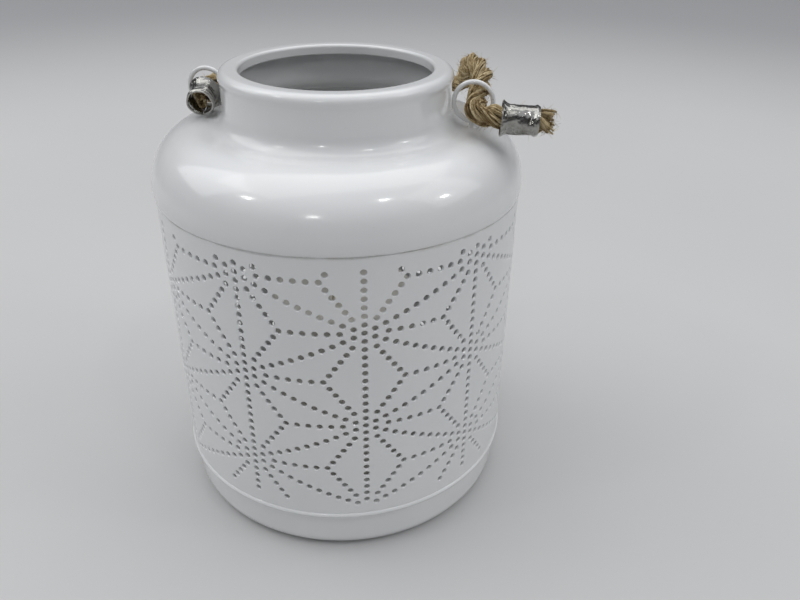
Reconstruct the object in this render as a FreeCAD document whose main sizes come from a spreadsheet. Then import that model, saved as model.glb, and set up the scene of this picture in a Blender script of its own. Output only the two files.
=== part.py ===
# Mason jar lantern: a lacquered steel jar with a rope handle and a battery candle inside.
# Millimetres. The origin is the middle of the foot, +Z is up, +X goes through the right ear,
# and -Y is the front.
import FreeCAD, Part
import math
import operator
import os
import Sketcher
from types import SimpleNamespace

doc = FreeCAD.newDocument("mason_jar_lantern")

driving = {
    # neck and shoulder
    "jar_height": 178,
    "sheet_gauge": 0.8,
    "mouth_radius": 36.1,
    "lip_round": 1.2,
    "hem_depth": 3.8,
    "rim_radius": 43.7,
    "rim_round": 3,
    "rim_taper": 1.5,
    "neck_radius": 43.1,
    "cove_round": 6.5,
    "neck_height": 20.3,
    "shoulder_round": 19.9,
    "shoulder_proud": 0.7,
    "shoulder_drop": 23.5,
    # sleeve
    "sleeve_radius": 71,
    "tuck_depth": 4,
    "tuck_step": 1.2,
    "sheet_gap": 0.1,
    # hemp-leaf star pattern punched through the sleeve
    "star_columns": 10,
    "star_turn": -70.6,
    "star_height": 104.8,
    "star_spacing": 40.2,
    "edge_steps": 4,
    "spoke_steps": 3,
    "punch_radius": 1.2,
    "punch_web": 4,
    "band_foot": 24.5,
    "band_top": 127.5,
    # base pan
    "bead_height": 19.7,
    "bead_round": 1.2,
    "bead_proud": 0.6,
    "flange_depth": 4,
    "base_inset": 1.5,
    "base_round": 6.5,
    "foot_width": 5,
    "floor_rise": 2.6,
    "seat_depth": 1.2,
    "seat_gap": 0.8,
    # ear rings
    "ring_radius": 7.2,
    "wire_radius": 0.9,
    "ring_lift": 9.5,
    "weld_gap": 0.2,
    "weld_radius": 1.1,
    # rope and its end ferrules
    "rope_radius": 4.2,
    "ferrule_gap": 0.3,
    "ferrule_wall": 0.8,
    "left_ferrule_length": 8.5,
    "right_ferrule_length": 13,
    "collar_flare": 1.5,
    "collar_depth": 2.6,
    "end_bead": 0.5,
    "ferrule_seam": 1.4,
    # candle shell
    "candle_radius": 31,
    "candle_height": 82,
    "candle_wall": 1.6,
    "candle_round": 3,
    "candle_dish": 6,
    "dish_radius": 13,
    "wick_radius": 5,
    "boss_radius": 3.4,
    "boss_height": 8,
    "screw_circle": 26.2,
    "screw_radius": 1.1,
    "screw_gap": 0.05,
    "screw_reach": 9,
    "head_radius": 2.2,
    "head_depth": 1.6,
    "head_gap": 0.2,
    # battery case and its cells
    "case_lift": 1,
    "case_gap": 0.2,
    "plate_depth": 5,
    "recess_depth": 3,
    "cell_radius": 5.25,
    "cell_length": 44.5,
    "cell_circle": 8.5,
    "nub_radius": 1.9,
    "nub_height": 0.8,
    "bore_gap": 0.15,
    "bore_wall": 1.6,
    "cell_lift": 0.1,
    "contact_depth": 0.5,
    "contact_radius": 4.6,
    "roof_depth": 2.2,
    "post_radius": 4,
    "post_height": 17,
    # twist-lock door
    "door_radius": 17.3,
    "door_gap": 0.2,
    "door_inset": 0.3,
    "door_clear": 0.2,
    "lug_reach": 1.1,
    "lug_width": 6,
    "lug_depth": 0.9,
    "lug_gap": 0.2,
    "coin_length": 16,
    "coin_width": 2,
    "coin_depth": 1,
    # light
    "board_radius": 10,
    "board_depth": 1.6,
    "lead_radius": 0.5,
    "lead_gap": 0.3,
    "led_radius": 2.5,
    "led_flange": 0.4,
    "led_foot": 1,
    "led_height": 7.7,
    "flame_gap": 0.2,
    "flame_collar": 2,
    "flame_plate": 1.2,
    "flame_height": 22,
    "flame_waist": 3.4,
    "flame_tip": 0.5,
    "lens_bore": 3.1,
    "lens_depth": 7,
    # slide switch
    "switch_circle": 23.4,
    "switch_width": 8,
    "switch_length": 11,
    "switch_height": 4.5,
    "knob_width": 2.4,
    "knob_length": 3,
    "knob_inset": 0.4,
    "knob_gap": 0.3,
    "knob_travel": 3,
    "slide_width": 4.4,
    "slide_length": 3.6,
    "slide_depth": 1,
    "slide_gap": 0.15,
}

sheet = doc.addObject("Spreadsheet::Sheet", "Sizes")
for row, (name, number) in enumerate(driving.items(), start=1):
    sheet.set(f"A{row}", name)
    sheet.set(f"B{row}", str(number))
    sheet.setAlias(f"B{row}", name)
doc.recompute()

signs = {"+": operator.add, "-": operator.sub, "*": operator.mul, "/": operator.truediv}


class Size:
    # A size that keeps its number beside the sheet expression it comes from.
    def __init__(self, number, text):
        self.number = number
        self.text = text

    def joined(self, sign, other):
        other = sized(other)
        return Size(signs[sign](self.number, other.number), f"({self.text} {sign} {other.text})")

    def __add__(self, other):
        return self.joined("+", other)

    def __sub__(self, other):
        return self.joined("-", other)

    def __mul__(self, other):
        return self.joined("*", other)

    def __truediv__(self, other):
        return self.joined("/", other)

    def __neg__(self):
        return Size(-self.number, f"(-1 * {self.text})")


def sized(value):
    return value if isinstance(value, Size) else Size(float(value), f"{float(value):.9f}")


def root(size):
    return Size(math.sqrt(size.number), f"sqrt({size.text})")


size = SimpleNamespace(**{name: Size(float(number), f"Sizes.{name}") for name, number in driving.items()})


# Sketches, turned bodies and primitives
def on_circle(start, end, radius, turn):
    # The middle of the arc that goes from start to end, anticlockwise where turn is 1.
    chord = end - start
    rise = math.sqrt(max(radius * radius - chord.Length * chord.Length / 4, 0))
    side = FreeCAD.Vector(chord.y, -chord.x, 0).normalize() * turn
    return (start + end) * 0.5 + side * (radius - rise)


def tie(sketch, kind, axis, corner, coordinate):
    # Holds one coordinate of a corner at its expression, measured from the sketch's origin.
    if abs(coordinate.number) < 1e-9:
        sketch.addConstraint(Sketcher.Constraint("PointOnObject", *corner, axis))
        return
    ends = (-1, 1, *corner) if coordinate.number > 0 else (*corner, -1, 1)
    index = sketch.addConstraint(Sketcher.Constraint(kind, *ends, abs(coordinate.number)))
    reach = coordinate if coordinate.number > 0 else -coordinate
    sketch.setExpression(f"Constraints[{index}]", reach.text)


def outline(body, role, name, points):
    # A closed outline. A point is (x, y), or (x, y, radius, turn) where an arc leads to it.
    plane = next(feature for feature in body.Origin.OriginFeatures if feature.Role == role)
    sketch = body.newObject("Sketcher::SketchObject", name)
    sketch.AttachmentSupport = (plane, [""])
    sketch.MapMode = "FlatFace"
    points = [(sized(point[0]), sized(point[1]), *point[2:]) for point in points]
    corners = [FreeCAD.Vector(point[0].number, point[1].number, 0) for point in points]
    heads = []
    tails = []
    for index, point in enumerate(points):
        start, end = corners[index - 1], corners[index]
        if len(point) == 2:
            edge = sketch.addGeometry(Part.LineSegment(start, end), False)
            ends = (1, 2)
        else:
            radius, turn = sized(point[2]), point[3]
            middle = on_circle(start, end, radius.number, turn)
            first, last = (start, end) if turn > 0 else (end, start)
            edge = sketch.addGeometry(Part.Arc(first, middle, last), False)
            ends = (1, 2) if turn > 0 else (2, 1)
            bend = sketch.addConstraint(Sketcher.Constraint("Radius", edge, radius.number))
            sketch.setExpression(f"Constraints[{bend}]", radius.text)
        heads.append((edge, ends[0]))
        tails.append((edge, ends[1]))
    for index, point in enumerate(points):
        following = heads[(index + 1) % len(points)]
        sketch.addConstraint(Sketcher.Constraint("Coincident", *tails[index], *following))
        tie(sketch, "DistanceX", -2, tails[index], point[0])
        tie(sketch, "DistanceY", -1, tails[index], point[1])
    return sketch


def place(item, x=0, y=0, z=0):
    for axis, value in zip("xyz", (x, y, z)):
        item.setExpression(f"Placement.Base.{axis}", sized(value).text)
    return item


def turned(name, points, z=0):
    body = doc.addObject("PartDesign::Body", name)
    sketch = outline(body, "XZ_Plane", f"{name}_profile", points)
    spin = body.newObject("PartDesign::Revolution", f"{name}_spin")
    spin.Profile = sketch
    spin.ReferenceAxis = (sketch, ["V_Axis"])
    spin.Angle = 360
    return place(body, z=z)


def rod(name, radius, height, x, y, z):
    item = doc.addObject("Part::Cylinder", name)
    item.setExpression("Radius", sized(radius).text)
    item.setExpression("Height", sized(height).text)
    return place(item, x, y, z)


def block(name, length, width, height, x, y, z, degrees=0):
    # A box that stands on z with its middle at x, y, turned about the upright through the origin.
    item = doc.addObject("Part::Box", name)
    for side, value in (("Length", length), ("Width", width), ("Height", height)):
        item.setExpression(side, sized(value).text)
    cosine, sine = math.cos(math.radians(degrees)), math.sin(math.radians(degrees))
    left = sized(x) - sized(length) / 2
    near = sized(y) - sized(width) / 2
    item.Placement = FreeCAD.Placement(FreeCAD.Vector(), FreeCAD.Rotation(FreeCAD.Vector(0, 0, 1), degrees))
    return place(item, left * cosine - near * sine, left * sine + near * cosine, z)


def fused(name, pieces):
    item = doc.addObject("Part::MultiFuse", name)
    item.Shapes = pieces
    return item


def cut(name, base, tools):
    item = doc.addObject("Part::Cut", name)
    item.Base = base
    item.Tool = tools[0] if len(tools) == 1 else fused(f"{name}_tools", tools)
    return item


def group(name, pieces):
    item = doc.addObject("Part::Compound", name)
    item.Links = pieces
    return item


def around(count, radius, first=0):
    # Places evenly spaced on a circle about the upright axis.
    for step in range(count):
        angle = math.radians(first + 360 * step / count)
        yield sized(radius) * math.cos(angle), sized(radius) * math.sin(angle)


# Jar
shoulder_height = size.jar_height - size.neck_height
seam_height = shoulder_height - size.shoulder_drop
shoulder_middle = size.sleeve_radius + size.shoulder_proud - size.shoulder_round
shoulder_fall = size.shoulder_drop - size.shoulder_round
ring_height = shoulder_height + size.ring_lift
shoulder_inner = size.shoulder_round - size.sheet_gauge
lip_inside = shoulder_middle + root(shoulder_inner * shoulder_inner - shoulder_fall * shoulder_fall)
tuck_radius = lip_inside - size.sheet_gap
sleeve_foot = size.bead_height + size.bead_round
candle_floor = size.floor_rise - size.seat_depth + size.sheet_gauge


def neck_shoulder():
    gauge = size.sheet_gauge
    top = size.jar_height
    rim_middle = size.rim_radius - size.rim_round
    rim_foot = top - size.rim_round
    neck_top = rim_foot - size.rim_taper
    cove_middle = size.neck_radius + size.cove_round
    cove_top = shoulder_height + size.cove_round
    shoulder_round = size.shoulder_round
    lip_outside = shoulder_middle + root(shoulder_round * shoulder_round - shoulder_fall * shoulder_fall)
    return turned("neck_shoulder", [
        (size.mouth_radius, top - size.hem_depth),
        (size.mouth_radius + gauge, top - size.hem_depth),
        (size.mouth_radius + gauge, top - size.lip_round),
        (size.mouth_radius + size.lip_round, top - gauge),
        (rim_middle, top - gauge),
        (size.rim_radius - gauge, rim_foot),
        (size.neck_radius - gauge, neck_top),
        (size.neck_radius - gauge, cove_top),
        (cove_middle, shoulder_height - gauge, size.cove_round + gauge, 1),
        (shoulder_middle, shoulder_height - gauge),
        (lip_inside, seam_height, shoulder_inner, -1),
        (lip_outside, seam_height),
        (shoulder_middle, shoulder_height, size.shoulder_round, 1),
        (cove_middle, shoulder_height),
        (size.neck_radius, cove_top, size.cove_round, -1),
        (size.neck_radius, neck_top),
        (size.rim_radius, rim_foot),
        (rim_middle, top, size.rim_round, 1),
        (size.mouth_radius + size.lip_round, top),
        (size.mouth_radius, top - size.lip_round),
    ])


def perforated_sleeve():
    gauge = size.sheet_gauge
    step_foot = seam_height - size.tuck_step
    sleeve_top = seam_height + size.tuck_depth
    tube = turned("sleeve_tube", [
        (size.sleeve_radius - gauge, sleeve_foot),
        (size.sleeve_radius, sleeve_foot),
        (size.sleeve_radius, step_foot),
        (tuck_radius, seam_height),
        (tuck_radius, sleeve_top),
        (tuck_radius - gauge, sleeve_top),
        (tuck_radius - gauge, seam_height),
        (size.sleeve_radius - gauge, step_foot),
    ])
    return cut("perforated_sleeve", tube, [star_punches()])


def star_lines():
    # Stars stand in upright columns, each second column half a step higher. Lines join every star to its
    # six neighbours, and spokes join the three corners of each triangle between them to its middle.
    # A place is (column, height), and each line says how many steps its holes divide it into.
    rise = sheet.star_spacing
    rows = range(-math.ceil(sheet.star_height / rise), math.ceil(seam_height.number / rise))
    for column in range(int(sheet.star_columns)):
        for row in rows:
            height = sheet.star_height + rise * (row + column % 2 / 2)
            star = (column, height)
            above = (column, height + rise)
            upper = (column + 1, height + rise / 2)
            lower = (column + 1, height - rise / 2)
            for neighbour in (above, upper, lower):
                yield star, neighbour, int(sheet.edge_steps)
            for triangle in ((star, above, upper), (star, upper, lower)):
                heart = [sum(values) / 3 for values in zip(*triangle)]
                for corner in triangle:
                    yield corner, heart, int(sheet.spoke_steps)


def punch_places():
    # Every hole of the pattern inside the band, without those that would run into an earlier one.
    step = 2 * math.pi * sheet.sleeve_radius / sheet.star_columns
    kept = []
    for start, end, steps in star_lines():
        for index in range(steps + 1):
            share = index / steps
            column = (start[0] + (end[0] - start[0]) * share) % sheet.star_columns
            height = start[1] + (end[1] - start[1]) * share
            if not sheet.band_foot < height < sheet.band_top:
                continue
            near = False
            for other_column, other_height in kept:
                gap = abs(column - other_column)
                across = min(gap, sheet.star_columns - gap) * step
                near = near or math.hypot(across, height - other_height) < sheet.punch_web
            if not near:
                kept.append((column, height))
    return kept


def star_punches():
    # Four-sided punches that point outwards, which keep so many holes to few faces.
    reach = sheet.sleeve_radius / 4
    side = sheet.punch_radius * math.sqrt(2)
    punches = []
    for column, height in punch_places():
        degrees = sheet.star_turn + 360 * column / sheet.star_columns
        corner = FreeCAD.Vector(sheet.sleeve_radius - reach / 2, -side / 2, -side / 2)
        punch = Part.makeBox(reach, side, side, corner)
        punch.rotate(FreeCAD.Vector(), FreeCAD.Vector(0, 0, 1), degrees)
        punch.translate(FreeCAD.Vector(0, 0, height))
        punches.append(punch)
    item = doc.addObject("Part::Feature", "star_punches")
    item.Shape = Part.makeCompound(punches)
    print(f"holes punched: {len(punches)}")
    return item


def base_pan():
    gauge = size.sheet_gauge
    lean = gauge * math.tan(math.pi / 8)
    seat_radius = size.candle_radius + size.seat_gap
    seat_under = size.floor_rise - size.seat_depth
    base_radius = size.sleeve_radius - size.base_inset
    foot_outer = base_radius - size.base_round
    foot_inner = foot_outer - size.foot_width
    bead_middle = size.sleeve_radius + size.bead_proud - size.bead_round
    bead_foot = size.bead_height - size.bead_round
    bead_flat = size.bead_round / 3
    flange_radius = size.sleeve_radius - gauge - size.sheet_gap
    flange_top = sleeve_foot + size.flange_depth
    return turned("base_pan", [
        (0, seat_under),
        (seat_radius, seat_under),
        (seat_radius + size.seat_depth, size.floor_rise),
        (foot_inner - size.floor_rise, size.floor_rise),
        (foot_inner, 0),
        (foot_outer, 0),
        (base_radius, size.base_round, size.base_round, 1),
        (base_radius, bead_foot),
        (bead_middle, bead_foot),
        (bead_middle + size.bead_round, size.bead_height - bead_flat),
        (bead_middle + size.bead_round, size.bead_height + bead_flat),
        (bead_middle, sleeve_foot),
        (flange_radius, sleeve_foot),
        (flange_radius, flange_top),
        (flange_radius - gauge, flange_top),
        (flange_radius - gauge, size.bead_height),
        (base_radius - gauge, bead_foot),
        (base_radius - gauge, size.base_round),
        (foot_outer, gauge, size.base_round - gauge, -1),
        (foot_inner + lean, gauge),
        (foot_inner - size.floor_rise + lean, size.floor_rise + gauge),
        (seat_radius + size.seat_depth - lean, size.floor_rise + gauge),
        (seat_radius - lean, candle_floor),
        (0, candle_floor),
    ])


def ear_ring(side, hand):
    # A wire ring that stands in the upright plane through the axis, with a weld foot on the shoulder.
    # The wire's section has eight sides, which keeps so small a ring to few faces.
    reach = (size.neck_radius + size.ring_radius + size.wire_radius + size.weld_gap) * hand
    section = []
    for step in range(8):
        angle = math.radians(45 * step + 22.5)
        across = size.ring_radius + size.wire_radius * math.cos(angle)
        section.append((across, size.wire_radius * math.sin(angle)))
    ring = turned(f"{side}_ring_wire", section)
    ring.Placement = FreeCAD.Placement(FreeCAD.Vector(), FreeCAD.Rotation(FreeCAD.Vector(1, 0, 0), 90))
    place(ring, reach, 0, ring_height)
    foot_height = size.ring_lift - size.ring_radius
    foot = rod(f"{side}_ring_foot", size.weld_radius, foot_height, reach, 0, shoulder_height)
    return fused(f"{side}_ear_ring", [ring, foot])


# Rope handle, from its left end through both rings to its right end, with heights from the rings' middle
rope_route = [FreeCAD.Vector(x, y, z + ring_height.number) for x, y, z in (
    (-50.7, -10.2, -3.2),
    (-51.3, 1.0, -0.4),
    (-51.4, 11.0, -0.6),
    (-48.4, 28.0, -3.0),
    (-38.5, 47.0, -6.0),
    (-17.5, 60.5, -7.1),
    (9.5, 63.5, -7.6),
    (32.5, 57.5, -7.8),
    (44.6, 46.5, -4.6),
    (46.2, 35.0, 3.8),
    (48.2, 24.0, 9.0),
    (54.4, 13.0, 7.0),
    (52.4, -1.0, -0.4),
    (52.5, -8.8, -1.2),
    (58.8, -13.2, -1.6),
    (73.0, -12.4, -2.3),
    (81.4, -11.0, -2.9),
)]
bend_share = 0.45


def rope_handle():
    edges = []
    pen = rope_route[0]
    for before, corner, after in zip(rope_route, rope_route[1:], rope_route[2:]):
        arriving = (corner - before).normalize()
        leaving = (after - corner).normalize()
        half_turn = arriving.getAngle(leaving) / 2
        setback = bend_share * min((corner - before).Length, (after - corner).Length)
        radius = setback / math.tan(half_turn)
        start = corner - arriving * setback
        end = corner + leaving * setback
        inward = (leaving - arriving).normalize()
        middle = corner + inward * (radius / math.cos(half_turn) - radius)
        edges.append(Part.LineSegment(pen, start).toShape())
        edges.append(Part.Arc(start, middle, end).toShape())
        pen = end
        print(f"rope bend radius {radius:.1f} at {corner.x:.1f}, {corner.y:.1f}")
    edges.append(Part.LineSegment(pen, rope_route[-1]).toShape())
    path = Part.Wire(edges)
    radius = sheet.rope_radius
    section = Part.Wire([Part.makeCircle(radius, rope_route[0], rope_route[1] - rope_route[0])])
    rope = doc.addObject("Part::Feature", "rope_handle")
    rope.Shape = path.makePipeShell([section], True, False)
    expected = math.pi * radius * radius * path.Length
    print(f"rope length {path.Length:.1f}, volume {rope.Shape.Volume:.0f} of {expected:.0f}")
    return rope


def ferrule(side, start, end, setback, length, seam_side):
    # A crimped tube on the rope with a flared collar towards the ring and an open seam along its length.
    bore = size.rope_radius + size.ferrule_gap
    skin = bore + size.ferrule_wall
    collar = skin + size.collar_flare
    bead_foot = length - size.end_bead * 3
    body = turned(f"{side}_ferrule", [
        (bore, size.collar_depth),
        (collar - size.ferrule_wall, 0),
        (collar, 0),
        (collar, size.ferrule_wall),
        (skin, size.collar_depth + size.ferrule_wall),
        (skin, bead_foot),
        (skin + size.end_bead, length - size.end_bead),
        (skin, length),
        (bore, length),
    ])
    half_seam = size.ferrule_seam / 2
    sketch = outline(body, "XY_Plane", f"{side}_ferrule_slot", [
        (bore / 2, -half_seam),
        (collar * 2, -half_seam),
        (collar * 2, half_seam),
        (bore / 2, half_seam),
    ])
    seam = body.newObject("PartDesign::Pocket", f"{side}_ferrule_seam")
    seam.Profile = sketch
    seam.Type = "ThroughAll"
    seam.Reversed = True
    along = (end - start).normalize()
    turn = FreeCAD.Rotation(seam_side, FreeCAD.Vector(), along, "ZXY")
    for axis in "xyz":
        body.setExpression(f"Placement.Base.{axis}", None)
    body.Placement = FreeCAD.Placement(start + along * setback, turn)
    return body


# Candle: heights in this part are measured from the seat in the floor of the jar
case_top = size.case_lift + size.plate_depth
case_ceiling = size.case_lift + size.recess_depth
cell_foot = case_ceiling + size.cell_lift
cell_top = cell_foot + size.cell_length
bore_top = cell_top + size.contact_depth
block_top = bore_top + size.roof_depth
board_foot = block_top + size.post_height
board_top = board_foot + size.board_depth
dish_floor = size.candle_height - size.candle_dish
dish_under = dish_floor - size.candle_wall
recess_radius = size.door_radius + size.door_gap
door_foot = size.case_lift + size.door_inset
door_top = case_ceiling - size.door_clear - size.contact_depth
screw_start = 60
door_turn = 40


def screw_places():
    return around(3, size.screw_circle, screw_start)


def cell_places():
    return around(3, size.cell_circle, 90)


def candle_shell():
    wall = size.candle_wall
    inner = size.candle_radius - wall
    crown = size.candle_radius - size.candle_round
    shell = turned("candle_wall_and_top", [
        (inner, 0),
        (size.candle_radius, 0),
        (size.candle_radius, size.candle_height - size.candle_round),
        (crown, size.candle_height, size.candle_round, 1),
        (size.dish_radius, dish_floor),
        (size.wick_radius, dish_floor),
        (size.wick_radius, dish_under),
        (size.dish_radius, dish_under),
        (crown, size.candle_height - wall),
        (inner, size.candle_height - size.candle_round),
    ], candle_floor)
    bosses = []
    pilots = []
    for index, (x, y) in enumerate(screw_places()):
        base = candle_floor + case_top
        bosses.append(rod(f"boss_{index}", size.boss_radius, size.boss_height, x, y, base))
        pilot = size.screw_radius + size.screw_gap
        depth = size.screw_reach + size.head_gap * 2
        pilots.append(rod(f"pilot_{index}", pilot, depth, x, y, base - size.plate_depth))
    return cut("candle_shell", fused("candle_with_bosses", [shell, *bosses]), pilots)


def flame_lens():
    neck = size.wick_radius - size.flame_gap
    foot = dish_under - size.flame_plate
    tip = dish_under + size.flame_height
    waist = dish_floor + size.flame_plate
    bore_end = foot + size.lens_depth
    return turned("flame_lens", [
        (size.lens_bore, foot),
        (neck + size.flame_collar, foot),
        (neck + size.flame_collar, dish_under),
        (neck, dish_under),
        (neck, waist),
        (size.flame_waist, waist + size.flame_height / 2),
        (size.flame_tip, tip),
        (0, tip),
        (0, bore_end + size.lens_bore),
        (size.lens_bore, bore_end),
    ], candle_floor)


def flame_led():
    skirt = size.led_radius + size.led_flange
    dome = board_top + size.led_height - size.led_radius
    return turned("flame_led", [
        (0, board_top),
        (skirt, board_top),
        (skirt, board_top + size.led_foot),
        (size.led_radius, board_top + size.led_foot),
        (size.led_radius, dome),
        (0, dome + size.led_radius, size.led_radius, 1),
    ], candle_floor)


def led_board():
    return rod("led_board", size.board_radius, size.board_depth, 0, 0, candle_floor + board_foot)


def lead_wires():
    height = board_foot - bore_top
    places = list(cell_places())[1:]
    base = candle_floor + bore_top
    return group("lead_wires", [
        rod(f"lead_{index}", size.lead_radius, height, x, y, base) for index, (x, y) in enumerate(places)
    ])


def battery_case():
    plate_radius = size.candle_radius - size.candle_wall - size.case_gap
    block_radius = size.cell_circle + size.cell_radius + size.bore_gap + size.bore_wall
    lug_foot = door_top - size.lug_depth - size.lug_gap
    lug_roof = door_top + size.lug_gap
    lug_end = size.door_radius + size.lug_reach
    half_lug = size.lug_width / 2
    groove_radius = root(lug_end * lug_end + half_lug * half_lug) + size.lug_gap
    form = turned("battery_case_form", [
        (0, case_ceiling),
        (recess_radius, case_ceiling),
        (recess_radius, lug_roof),
        (groove_radius, lug_roof),
        (groove_radius, lug_foot),
        (recess_radius, lug_foot),
        (recess_radius, size.case_lift),
        (plate_radius, size.case_lift),
        (plate_radius, case_top),
        (block_radius, case_top),
        (block_radius, block_top),
        (size.post_radius, block_top),
        (size.post_radius, board_foot),
        (0, board_foot),
    ], candle_floor)
    tools = []
    bore = size.cell_radius + size.bore_gap
    for index, (x, y) in enumerate(cell_places()):
        base = candle_floor + case_ceiling
        tools.append(rod(f"cell_bore_{index}", bore, bore_top - case_ceiling, x, y, base))
    for index, (x, y) in enumerate(list(cell_places())[1:]):
        hole = size.lead_radius + size.lead_gap
        tools.append(rod(f"lead_hole_{index}", hole, size.roof_depth, x, y, candle_floor + bore_top))
    base = candle_floor + size.case_lift
    for index, (x, y) in enumerate(screw_places()):
        hole = size.screw_radius + size.screw_gap
        well = size.head_radius + size.head_gap
        tools.append(rod(f"screw_hole_{index}", hole, size.plate_depth, x, y, base))
        tools.append(rod(f"screw_well_{index}", well, size.head_depth + size.head_gap, x, y, base))
    notch_length = size.lug_reach * 2 + size.lug_gap
    notch_width = size.lug_width + size.lug_gap * 2
    notch_height = lug_foot - size.case_lift + size.lug_gap
    for index, degrees in enumerate((90 + door_turn, 270 + door_turn)):
        place_x = size.door_radius + size.lug_gap
        name = f"lug_notch_{index}"
        tools.append(block(name, notch_length, notch_width, notch_height, place_x, 0, base, degrees))
    slot_width = size.knob_width + size.knob_gap * 2
    slot_length = size.knob_length + size.knob_travel + size.knob_gap * 2
    tools.append(block("knob_slot", slot_width, slot_length, size.plate_depth, size.switch_circle, 0, base))
    return cut("battery_case", form, tools)


def cell(index, x, y, flipped):
    name = f"cell_{index}"
    shoulder = size.cell_length - size.nub_height
    body = turned(name, [
        (0, 0),
        (size.cell_radius, 0),
        (size.cell_radius, shoulder),
        (size.nub_radius, shoulder),
        (size.nub_radius, size.cell_length),
        (0, size.cell_length),
    ])
    if not flipped:
        return place(body, x, y, candle_floor + cell_foot)
    body.Placement = FreeCAD.Placement(FreeCAD.Vector(), FreeCAD.Rotation(FreeCAD.Vector(1, 0, 0), 180))
    return place(body, x, y, candle_floor + cell_top)


def top_contacts():
    base = candle_floor + cell_top
    return group("top_contacts", [
        rod(f"top_contact_{index}", size.contact_radius, size.contact_depth, x, y, base)
        for index, (x, y) in enumerate(cell_places())
    ])


def case_screws():
    screws = []
    for index, (x, y) in enumerate(screw_places()):
        seat = candle_floor + size.case_lift + size.head_gap
        head = rod(f"screw_head_{index}", size.head_radius, size.head_depth, x, y, seat)
        shank_length = size.screw_reach - size.head_depth
        shank = rod(f"screw_shank_{index}", size.screw_radius, shank_length, x, y, seat + size.head_depth)
        screws.append(fused(f"screw_{index}", [head, shank]))
    return group("case_screws", screws)


def battery_door():
    disc = rod("door_disc", size.door_radius, door_top - door_foot, 0, 0, candle_floor + door_foot)
    lugs = []
    for index, degrees in enumerate((90, 270)):
        middle = size.door_radius
        base = candle_floor + door_top - size.lug_depth
        reach = size.lug_reach * 2
        name = f"door_lug_{index}"
        lugs.append(block(name, reach, size.lug_width, size.lug_depth, middle, 0, base, degrees))
    slot_foot = candle_floor + door_foot
    slot = block("coin_slot", size.coin_length, size.coin_width, size.coin_depth, 0, 0, slot_foot)
    return cut("battery_door", fused("door_with_lugs", [disc, *lugs]), [slot])


def door_contact():
    outer = size.cell_circle + size.contact_radius
    inner = size.cell_circle - size.contact_radius
    return turned("door_contact", [
        (inner, door_top),
        (outer, door_top),
        (outer, door_top + size.contact_depth),
        (inner, door_top + size.contact_depth),
    ], candle_floor)


def switch_body():
    base = candle_floor + case_top
    width = size.slide_width + size.knob_gap * 2
    length = size.slide_length + size.knob_travel + size.knob_gap * 2
    depth = size.slide_depth + size.slide_gap * 2
    x = size.switch_circle
    box = block("switch_box", size.switch_width, size.switch_length, size.switch_height, x, 0, base)
    cavity = block("slide_cavity", width, length, depth, x, 0, base)
    return cut("switch_body", box, [cavity])


def switch_slider():
    # The knob hangs through the slot in the plate from a slide that runs inside the switch.
    x = size.switch_circle
    y = -size.knob_travel / 2
    slide_foot = candle_floor + case_top + size.slide_gap
    knob_foot = candle_floor + size.case_lift + size.knob_inset
    slide = block("slide_plate", size.slide_width, size.slide_length, size.slide_depth, x, y, slide_foot)
    knob = block("slide_knob", size.knob_width, size.knob_length, slide_foot - knob_foot, x, y, knob_foot)
    return fused("switch_slider", [slide, knob])


down = FreeCAD.Vector(0, 0, -1)
left_collar_setback = 3.8
right_collar_setback = 3.6
sub_parts = [
    neck_shoulder(),
    perforated_sleeve(),
    base_pan(),
    ear_ring("left", -1),
    ear_ring("right", 1),
    rope_handle(),
    ferrule("left", rope_route[1], rope_route[0], left_collar_setback, size.left_ferrule_length, down),
    ferrule("right", rope_route[-3], rope_route[-2], right_collar_setback, size.right_ferrule_length, down),
    candle_shell(),
    flame_lens(),
    flame_led(),
    led_board(),
    lead_wires(),
    battery_case(),
    *[cell(index, x, y, index == 2) for index, (x, y) in enumerate(cell_places(), start=1)],
    top_contacts(),
    case_screws(),
    battery_door(),
    door_contact(),
    switch_body(),
    switch_slider(),
]
doc.recompute()

for item in doc.Objects:
    faults = [state for state in item.State if state in ("Invalid", "Error")]
    if faults:
        raise RuntimeError(f"{item.Label} did not build: {faults}")
for item in sub_parts:
    if item.Shape.isNull() or not item.Shape.isValid():
        raise RuntimeError(f"{item.Label} has no valid shape")

os.makedirs("parts", exist_ok=True)
for item in sub_parts:
    item.Shape.exportStep(f"parts/{item.Label}.step")
    print(f"{item.Label}: {len(item.Shape.Solids)} solid, {item.Shape.Volume:.0f} cubic mm")
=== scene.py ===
import math
import random
import bmesh
import bpy
from mathutils import Matrix, Vector


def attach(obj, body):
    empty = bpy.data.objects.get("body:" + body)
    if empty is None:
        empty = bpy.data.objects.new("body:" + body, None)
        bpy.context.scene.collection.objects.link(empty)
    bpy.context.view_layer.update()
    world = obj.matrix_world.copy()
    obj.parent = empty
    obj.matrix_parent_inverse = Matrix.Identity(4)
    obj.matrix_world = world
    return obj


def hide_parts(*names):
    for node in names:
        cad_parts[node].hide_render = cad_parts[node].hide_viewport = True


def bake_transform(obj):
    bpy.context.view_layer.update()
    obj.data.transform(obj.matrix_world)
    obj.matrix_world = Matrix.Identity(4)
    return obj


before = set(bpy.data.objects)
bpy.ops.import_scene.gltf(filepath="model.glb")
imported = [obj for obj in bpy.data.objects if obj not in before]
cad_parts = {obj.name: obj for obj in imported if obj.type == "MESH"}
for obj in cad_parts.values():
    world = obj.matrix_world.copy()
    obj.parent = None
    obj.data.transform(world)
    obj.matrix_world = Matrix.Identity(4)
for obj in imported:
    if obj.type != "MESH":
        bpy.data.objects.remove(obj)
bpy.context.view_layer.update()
scene = bpy.context.scene
mm = 0.001
print("frame loaded with", len(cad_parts), "nodes")

# camera
cameraSet = {
    "place": (0.0682, -0.2731, 0.2416),
    "turn": 9.0,        # degrees to the left of a look along +Y
    "tilt": 30.35,      # degrees down
    "roll": 0.74,
    "lens": 33.32,
    "near": 0.01,       # m from the lens, where the view begins
}


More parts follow.
